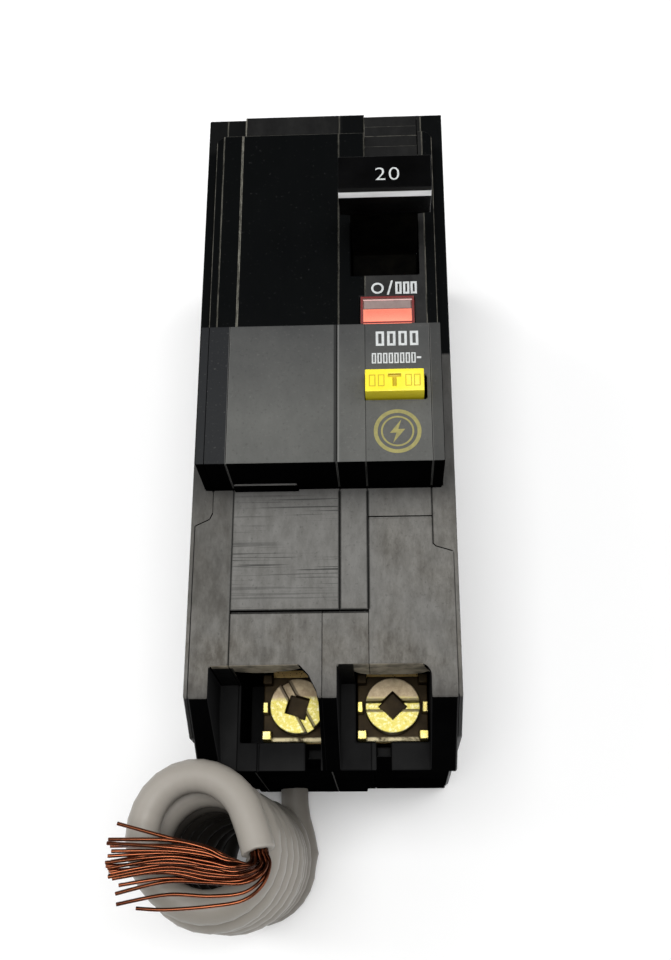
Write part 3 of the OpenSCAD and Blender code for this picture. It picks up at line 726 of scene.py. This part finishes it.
WINDING = simple("enamelled_wire", (0.48, 0.15, 0.06), (0.36, 0.11, 0.05), (0.2, 0.35), 0.6,
                 scale=900, stretch=(0.3, 4, 0.3), bump=0.3)
PHENOLIC = simple("brown_phenolic", (0.20, 0.07, 0.035), (0.14, 0.05, 0.028), (0.4, 0.6),
                  scale=260)
BOARD = simple("solder_mask", (0.02, 0.14, 0.05), (0.015, 0.10, 0.04), (0.3, 0.45), scale=500)
CHIP = simple("moulded_epoxy", (0.015, 0.015, 0.017), grey(0.03), (0.35, 0.5), scale=900)
BLUE = simple("dipped_epoxy", (0.03, 0.11, 0.36), (0.025, 0.085, 0.28), (0.2, 0.35), scale=300)
JACKET = jacket()
FLOOR = simple("pale_floor", grey(0.97), grey(0.96), (0.7, 0.8), scale=3, bump=0.0,
               Emission_Color=(1.0, 1.0, 1.0, 1), Emission_Strength=0.045)

# ---------------------------------------------------------------- pigtail, in mm
WIRE_R = 2.35
COIL_R = 8.4
COIL_BASE = Vector((-13.9, -62.95, 0.8))
COIL_TILT = math.radians(4)
FIRST_TURN_Z = 2.4
PITCH = 4.97
STEPS_PER_TURN = 28
# How far the wire draws in towards the coil's axis: low turns, first bend, last turn
LOW_TURNS_IN = 0.8
FIRST_BEND_IN = 2.0
LAST_TURN_IN = 1.35
# How far the wire is pulled sideways: low turns, first bend, and the top turn twice over
LOW_TURNS_PULL = Vector((0.2, 0.7, 0))
FIRST_BEND_PULL = Vector((0, 1.9, 0))
TOP_TURN_PULL = Vector((-0.5, 1.5, 0))
LAST_TURN_PULL = Vector((0, 1.25, 0))
# The last turn leaves the coil here, counted in turns, and ends in a straight cut end
RUN_OUT = 8.94
CUT_END = Vector((-9.0, -63.3, 48.6))
LEAD = [Vector(p) for p in ((-7.8, -49.5, 3.6), (-7.7, -52, 3.5), (-7.3, -54.6, 3.4),
                            (-6.5, -57.4, 3.3), (-5.9, -60.2, 3.3))]


def ramp(t, start, end):
    """0 up to the start, 1 from the end on, straight between them."""
    return min(1.0, max(0.0, (t - start) / (end - start)))


def hump(t, start, end):
    """Rises from 0 to 1 and falls back to 0 between the start and the end."""
    return math.sin(math.pi * ramp(t, start, end)) ** 2


def coil_point(t):
    """Point of the coil after t turns: clockwise from above while it climbs."""
    angle = -2 * math.pi * t
    low_turns = 1 - ramp(t, 1.5, 4)
    lifted = ramp(t, 7.95, 8.55)
    lifted = lifted * lifted * (3 - 2 * lifted)
    last_turn = math.sin(0.62 * math.pi * ramp(t, 8.6, RUN_OUT)) ** 2
    radius = (COIL_R - LOW_TURNS_IN * low_turns - FIRST_BEND_IN * hump(t, 0.2, 0.95)
              - LAST_TURN_IN * last_turn)
    local = Vector((radius * math.cos(angle), radius * math.sin(angle), FIRST_TURN_Z + PITCH * t))
    tilted = Matrix.Rotation(-COIL_TILT, 3, "Y") @ local
    wander = Vector((0.16 * math.sin(5.3 * t), 0.14 * math.sin(4.1 * t + 1),
                     0.05 * math.sin(7 * t)))
    pull = (LOW_TURNS_PULL * low_turns + FIRST_BEND_PULL * hump(t, 0.3, 1.2)
            + TOP_TURN_PULL * lifted + LAST_TURN_PULL * ramp(t, 7.9, 9) ** 1.5)
    return COIL_BASE + tilted + wander + pull


turns = [coil_point(i / STEPS_PER_TURN) for i in range(int(RUN_OUT * STEPS_PER_TURN) + 1)]
halfway = turns[-1].lerp(CUT_END, 0.5) + Vector((0.15, 0, 0))
wire_points = LEAD + turns + smooth_path([turns[-1], halfway, CUT_END], 5)[1:]
wire_curve = bpy.data.curves.new("pigtail_wire", "CURVE")
wire_curve.dimensions = "3D"
wire_curve.bevel_depth = WIRE_R * MM
wire_curve.bevel_resolution = 7
wire_curve.use_fill_caps = True
spline = wire_curve.splines.new("POLY")
spline.points.add(len(wire_points) - 1)
for spot, p in zip(spline.points, wire_points):
    spot.co = (*(p * MM), 1)
spline.use_smooth = True
wire_curve.materials.append(JACKET)
pigtail = bpy.data.objects.new("pigtail_wire", wire_curve)
bpy.context.scene.collection.objects.link(pigtail)
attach(pigtail, "case")
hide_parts("pigtail_lead", "pigtail_coil")

# Directions at the cut end: along the wire, across it, and up from it
along = (wire_points[-1] - wire_points[-2]).normalized()
across = along.cross(Vector((0, 0, 1))).normalized()
upward = across.cross(along).normalized()

# ---------------------------------------------------------------- bare strands, in mm
# Out of the cut end, round a tight bend and fanned over the coil
STRAND_R = 0.26
STRAND_RINGS = ((1, 0.0), (6, 0.54), (12, 1.08))
# Where the strands end, from the one on the inside of the bend to the one on its outside
TIPS = [(-27.8, -60.0), (-28.8, -62.1), (-28.6, -62.9), (-28.9, -62.6), (-28.3, -63.6),
        (-28.8, -64.2), (-28.4, -64.9), (-28.9, -65.1), (-28.6, -65.8), (-28.9, -65.5),
        (-28.3, -66.4), (-28.6, -66.1), (-28.4, -66.9), (-27.9, -67.1), (-28.5, -66.7),
        (-27.1, -67.9), (-27.3, -69.0), (-27.2, -70.3), (-24.5, -70.8)]
TIP_Z = 51.9
# Stations of the strand on the inside of the bend and of the one on its outside
BEND = [((-10.6, -65.2, 50.4), (-7.3, -65.2, 49.2)), ((-12.2, -64.6, 51.3), (-8.1, -67.0, 50.5)),
        ((-13.7, -63.9, 51.8), (-10.5, -68.2, 51.2)), ((-15.9, -63.0, 52.0), (-14.8, -68.3, 51.6)),
        ((-20.8, -62.0, 52.1), (-20.6, -67.9, 51.7))]
# How far the two outermost strands stray from the bundle
STRAY = {18: 2.4, 17: 1.3}


def packed(count, ring_r):
    """Places of a ring of strands in the wire's section."""
    angles = [2 * math.pi * k / count + 0.1 for k in range(count)]
    return [(ring_r * math.cos(a), ring_r * math.sin(a)) for a in angles]


def strand_path(rank, u, v):
    """The strand at (u, v) in the section, which is the rank-th from the inside of the bend."""
    share = rank / (len(TIPS) - 1)
    path = [CUT_END - along * 1.5 + across * u + upward * v,
            CUT_END + along * 0.7 + across * u + upward * (v + 0.1)]
    for i, (inner, outer) in enumerate(BEND):
        loose = Vector((0, random.uniform(-0.3, 0.3), random.uniform(-0.15, 0.25))) * (i / 4)
        back = 0.95 if i == 4 else 1.0
        stray = Vector((0, -STRAY.get(rank, 0.0) * (i / 3) * back, 0))
        path.append(Vector(inner).lerp(Vector(outer), share) + Vector((0, 0, 0.75 * v))
                    + loose + stray)
    return path + [Vector((*TIPS[rank], TIP_Z + 0.5 * v))]


random.seed(41)
section = [place for count, ring_r in STRAND_RINGS for place in packed(count, ring_r)]
strands = bmesh.new()
for rank, (u, v) in enumerate(sorted(section, key=lambda place: -place[0] + place[1] * 0.2)):
    tube(strands, smooth_path([p * MM for p in strand_path(rank, u, v)], 7), STRAND_R * MM)
copper = put("pigtail_copper", mesh_from("pigtail_copper", strands, 50), "case", [STRAND],
             ["pigtail_strands"])

# ---------------------------------------------------------------- cut end of the insulation
# Radius of each ring round the cut, in mm, how far it stands ahead, and how ragged it is
CUT_RINGS = ((WIRE_R, -0.35, 0), (1.012 * WIRE_R, 0.02, 1), (0.97 * WIRE_R, 0.16, 1),
             (1.42, 0.10, 1), (1.30, -0.5, 0))
CUT_SIDES = 40


def cut_ring(bm, r, ahead, ragged):
    ring = []
    for k in range(CUT_SIDES):
        a = 2 * math.pi * k / CUT_SIDES
        tooth = ragged * (0.05 * math.sin(3 * a + 1) + 0.035 * math.sin(7 * a))
        round_wire = across * (r * math.cos(a)) + upward * (r * math.sin(a))
        ring.append(bm.verts.new((CUT_END + along * (ahead + tooth) + round_wire) * MM))
    return ring


cut = bmesh.new()
rings = [cut_ring(cut, *ring) for ring in CUT_RINGS]
for a, b in zip(rings, rings[1:] + rings[:1]):
    for k in range(CUT_SIDES):
        m = (k + 1) % CUT_SIDES
        cut.faces.new((a[k], a[m], b[m], b[k]))
cut_piece = put("pigtail_cut_end", mesh_from("pigtail_cut_end", cut, 60), "case", [JACKET])

# ---------------------------------------------------------------- case
SEAMS = (COVER_SEAM_X, LEFT_SEAM_X, MODULE_SEAM_X, LOW_SEAM_X, FRAME_SEAM_X, RIGHT_SEAM_X)
CASE_ROUND = 0.26
FAR_SEAM_ROUND = 0.11
SEAM_ROUND = 0.16
LIP_Z = 47
TOP_FACE, EDGE_FACE, SIDE_FACE, LIP_FACE = range(4)


def case_edge_width(edge):
    """Seams are rounded less than the outer edges, and least on the handle's plateau."""
    xs = [v.co.x / MM for v in edge.verts]
    if any(all(abs(x - seam) < 0.02 for x in xs) for seam in SEAMS):
        beyond_step = min(v.co.y for v in edge.verts) > (STEP_Y - 0.8) * MM
        return (FAR_SEAM_ROUND if beyond_step else SEAM_ROUND) * MM
    return CASE_ROUND * MM


def case_shell(name, node):
    """The moulding with rounded edges, and its faces sorted by material."""
    shell = bevelled(name, cad_copy(node), CASE_ROUND * MM, edge_index=EDGE_FACE,
                     width_of=case_edge_width)
    for face in shell.polygons:
        at_well = abs(face.center.y - WELL_Y * MM) < 0.1 * MM
        if face.material_index == TOP_FACE and face.normal.z < 0.6:
            face.material_index = SIDE_FACE
        if face.normal.y < -0.9 and at_well and face.center.z > LIP_Z * MM:
            face.material_index = LIP_FACE
    return shell


for node, plastic in MOULD.items():
    put(node + "_shell", case_shell(node + "_shell", node), "case", [plastic, EDGE, SIDE, LIP],
        [node])

# ---------------------------------------------------------------- handle
handle_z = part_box("handle")[1].z / MM
# Depths below the handle's top: of the bright strip and the pale edges (wear and painted
# highlight), of the cross bar
STRIP_DEPTH = 1.6
WEAR_AND_SHEEN_DEPTH = 5
BAR_DEPTH = 7
GLOSS_FACE, WEAR_AND_SHEEN_FACE, STRIP_FACE, HUB_FACE = range(4)

grip = bevelled("handle_grip", cad_copy("handle"), 0.16 * MM, segments=3, edge_index=WEAR_AND_SHEEN_FACE)
for face in grip.polygons:
    depth = handle_z - face.center.z / MM
    if face.material_index == WEAR_AND_SHEEN_FACE and depth > WEAR_AND_SHEEN_DEPTH:
        face.material_index = GLOSS_FACE
    if depth > BAR_DEPTH:
        face.material_index = HUB_FACE
    # painted highlight, with wear: near faces just below the top take the bright strip
    if face.material_index == GLOSS_FACE and depth < STRIP_DEPTH and face.normal.y < -0.6:
        face.material_index = STRIP_FACE
put("handle_grip", grip, "handle", [HANDLE, HANDLE_EDGE, strip_wear_and_highlight(handle_z), HANDLE_HUB],
    ["handle"])


def lettering(name, text, size, centre, body, material, stretch):
    """Flat raised figures from the built-in vector font, stretched along x."""
    curve = bpy.data.curves.new(name, "FONT")
    curve.body = text
    curve.size = size * MM
    curve.align_x = "CENTER"
    curve.align_y = "CENTER"
    curve.extrude = 0.02 * MM
    curve.offset = -0.035 * MM
    curve.space_character = 1.12
    holder = bpy.data.objects.new(name, curve)
    bpy.context.scene.collection.objects.link(holder)
    mesh = applied(holder)
    mesh.transform(Matrix.Translation(Vector(centre) * MM)
                   @ Matrix.Diagonal((stretch, 1, 1, 1)))
    return put(name, mesh, body, [material])


lettering("rating_figures", "20", 3.1, (9.95, 26.0, handle_z + 0.015), "handle", PRINT, 1.12)

# ---------------------------------------------------------------- printed marks
INK = 0.03
SUNK = 0.01


def marks(name, top, build, material=PRINT, body="case"):
    """A thin piece of ink on the face at height top; build() adds its shapes."""
    bm = bmesh.new()
    build(bm, (top - SUNK, top + INK))
    return put(name, mesh_from(name, bm), body, [material])


def row_of_outlines(bm, starts, width, y, z, line):
    for x in starts:
        outline_of(bm, (x, x + width), y, z, line)


def off_mark(bm, z):
    ring_plate(bm, (8.25, 17.45), 0.64, 0.95, z)
    prism(bm, [(9.65, 16.3), (9.95, 16.3), (10.6, 18.75), (10.3, 18.75)], z)
    row_of_outlines(bm, (10.95, 12.12, 13.25), 0.95, (16.4, 18.5), z, 0.33)


def rating_mark(bm, z):
    row_of_outlines(bm, [7.95 + 1.62 * i for i in range(4)], 1.19, (4.1, 6.4), z, 0.36)


def voltage_mark(bm, z):
    row_of_outlines(bm, [7.35 + 0.8 * i for i in range(8)], 0.62, (1.3, 2.95), z, 0.2)
    block(bm, (13.72, 14.35), (2.0, 2.3), z)


def emblem(bm, z):
    """Two rings round a lightning bolt."""
    centre = (10.8, -9.2)
    ring_plate(bm, centre, 2.75, 3.3, z, 56)
    ring_plate(bm, centre, 2.05, 2.3, z, 56)
    prism(bm, [(11.35, -7.45), (9.75, -9.45), (10.65, -9.45), (10.15, -11.0), (11.85, -8.9),
               (10.9, -8.9)], z)


marks("off_mark", FAR_Z, off_mark)
marks("rating_mark", MID_Z, rating_mark)
marks("voltage_mark", MID_Z, voltage_mark)
marks("emblem", MID_Z, emblem, GOLD_PRINT)

# ---------------------------------------------------------------- test button
# The T is sunk into the middle of the button's top and painted darker as shade
T_X = (9.4, 11.6)
T_Y = (-3.5, -1.3)
T_Z = (BUTTON_TOP - 0.4, BUTTON_TOP - 0.06)

button = bevelled("test_button_cap", cad_copy("test_button"), 0.12 * MM)
for face in button.polygons:
    if all(low < c < high for c, (low, high) in zip(face.center / MM, (T_X, T_Y, T_Z))):
        face.material_index = 1
put("test_button_cap", button, "test_button", [BUTTON, BUTTON_MARK], ["test_button"])


# painted shade: outlines of the engraved bars
def button_bars(bm, z):
    row_of_outlines(bm, (6.95, 8.2, 12.0, 13.2), 0.9, (-3.35, -1.55), z, 0.13)


marks("button_bars", BUTTON_TOP, button_bars, BUTTON_MARK, "test_button")

# ---------------------------------------------------------------- trip window
lens = bevelled("indicator_window", cad_copy("indicator_lens"), 0.12 * MM)
put("indicator_window", lens, "case", [LENS], ["indicator_lens"])


def lens_rim(bm, z):
    outline_of(bm, (5.72, 13.68), (11.32, 15.88), z, 0.26)


def lens_frost(bm, z):
    block(bm, (6.2, 13.2), (13.8, 15.1), z)


def lens_glint(bm, z):
    block(bm, (6.1, 13.4), (15.15, 15.35), z)


marks("indicator_rim", LENS_TOP, lens_rim, LENS_RIM)
marks("indicator_frost", LENS_TOP, lens_frost, LENS_FROST)
marks("indicator_glint", LENS_TOP, lens_glint, LENS_GLINT)
flag = bevelled("trip_flag_plate", cad_copy("trip_flag"), 0.1 * MM)
put("trip_flag_plate", flag, "trip_flag", [FLAG], ["trip_flag"])

# ---------------------------------------------------------------- terminals
SLOT_DEPTH = 1.2
RECESS_REACH = 1
SHADE_Y = -41
BRIGHT_FACE, SHADED_FACE = range(2)


def screw(node, at):
    """The screw; only its top and the floor of its slot are bright."""
    piece = bevelled(node + "_plated", cad_copy(node), 0.1 * MM)
    for face in piece.polygons:
        x, y, z = face.center / MM
        if z > HEAD_TOP - 0.12:
            continue
        on_slot = face.normal.z > 0.9 and abs(z - HEAD_TOP + SLOT_DEPTH) < 0.1
        outside_recess = math.hypot(x - at[0], y - at[1]) > RECESS_REACH
        face.material_index = BRIGHT_FACE if on_slot and outside_recess else SHADED_FACE
    return piece


def saddle(node):
    """The saddle; only the raised near corners and their edges are bright."""
    piece = bevelled(node + "_plated", cad_copy(node), 0.14 * MM, edge_index=1)
    for face in piece.polygons:
        raised = face.center.z / MM > PLATE_TOP + 0.3 or face.material_index == 1
        in_light = face.center.y < SHADE_Y * MM
        face.material_index = BRIGHT_FACE if raised and in_light else SHADED_FACE
    return piece


for side_name, at in SCREW_AT.items():
    node = f"terminal_screw_{side_name}"
    put(node + "_plated", screw(node, at), f"screw_{side_name}",
        [SCREW_HEAD[side_name], ZINC_SHADE], [node])
    node = f"saddle_clamp_{side_name}"
    put(node + "_plated", saddle(node), f"saddle_{side_name}", [YELLOW_ZINC, ZINC_SHADE],
        [node])

# ---------------------------------------------------------------- CAD nodes that stay
KEPT = {
    STEEL: ("case_rivets", "trip_lever", "trip_lever_pin", "bimetal_left", "bimetal_right",
            "magnet_yoke_left", "magnet_yoke_right", "solenoid_frame", "solenoid_plunger"),
    SPRING: ("test_button_spring", "toggle_spring_left", "toggle_spring_right"),
    BRASS: ("line_jaw_left", "line_jaw_right", "load_terminal_left", "load_terminal_right",
            "test_contact", "neutral_terminal"),
    COPPER: ("contact_arm_left", "contact_arm_right", "flexible_braids"),
    WINDING: ("solenoid_coil", "sensing_transformer"),
    PHENOLIC: ("trip_bar", "contact_crossbar"),
    BOARD: ("circuit_board",),
    CHIP: ("control_chip", "filter_capacitor"),
    BLUE: ("surge_varistor",),
}
for material, names in KEPT.items():
    for node in names:
        mesh = NODES[node].data
        if not mesh.materials:
            mesh.materials.append(material)
        for i in range(len(mesh.materials)):
            mesh.materials[i] = material

# ---------------------------------------------------------------- floor, lights and world
HALF_FLOOR = 3.0
corners = [(-HALF_FLOOR, -HALF_FLOOR, 0), (HALF_FLOOR, -HALF_FLOOR, 0),
           (HALF_FLOOR, HALF_FLOOR, 0), (-HALF_FLOOR, HALF_FLOOR, 0)]
floor_mesh = bpy.data.meshes.new("floor")
floor_mesh.from_pydata(corners, [], [(0, 1, 2, 3)])
floor = bpy.data.objects.new("floor", floor_mesh)
bpy.context.scene.collection.objects.link(floor)
floor_mesh.materials.append(FLOOR)


def softbox(name, at, target, size, power):
    """Rectangular lamp; places and sizes are in metres, its power is in watts."""
    data = bpy.data.lights.new(name, "AREA")
    data.shape = "RECTANGLE"
    data.size, data.size_y = size
    data.energy = power
    lamp = bpy.data.objects.new(name, data)
    bpy.context.scene.collection.objects.link(lamp)
    lamp.location = at
    lamp.rotation_euler = (Vector(target) - Vector(at)).to_track_quat("-Z", "Y").to_euler()


softbox("overhead_softbox", (0.0, -0.10, 1.0), (0, -0.02, 0.05), (0.6, 0.5), 7.4)
softbox("left_softbox", (-0.9, 0.3, 0.8), (0, 0, 0.03), (0.6, 0.8), 4.6)
softbox("right_softbox", (0.9, 0.2, 0.8), (0, 0, 0.03), (0.6, 0.8), 3.8)
world = bpy.data.worlds.new("studio")
world.use_nodes = True
backdrop = world.node_tree.nodes["Background"]
backdrop.inputs["Color"].default_value = (1, 1, 1, 1)
backdrop.inputs["Strength"].default_value = 0.17
bpy.context.scene.world = world
bpy.context.scene.view_settings.view_transform = "Standard"
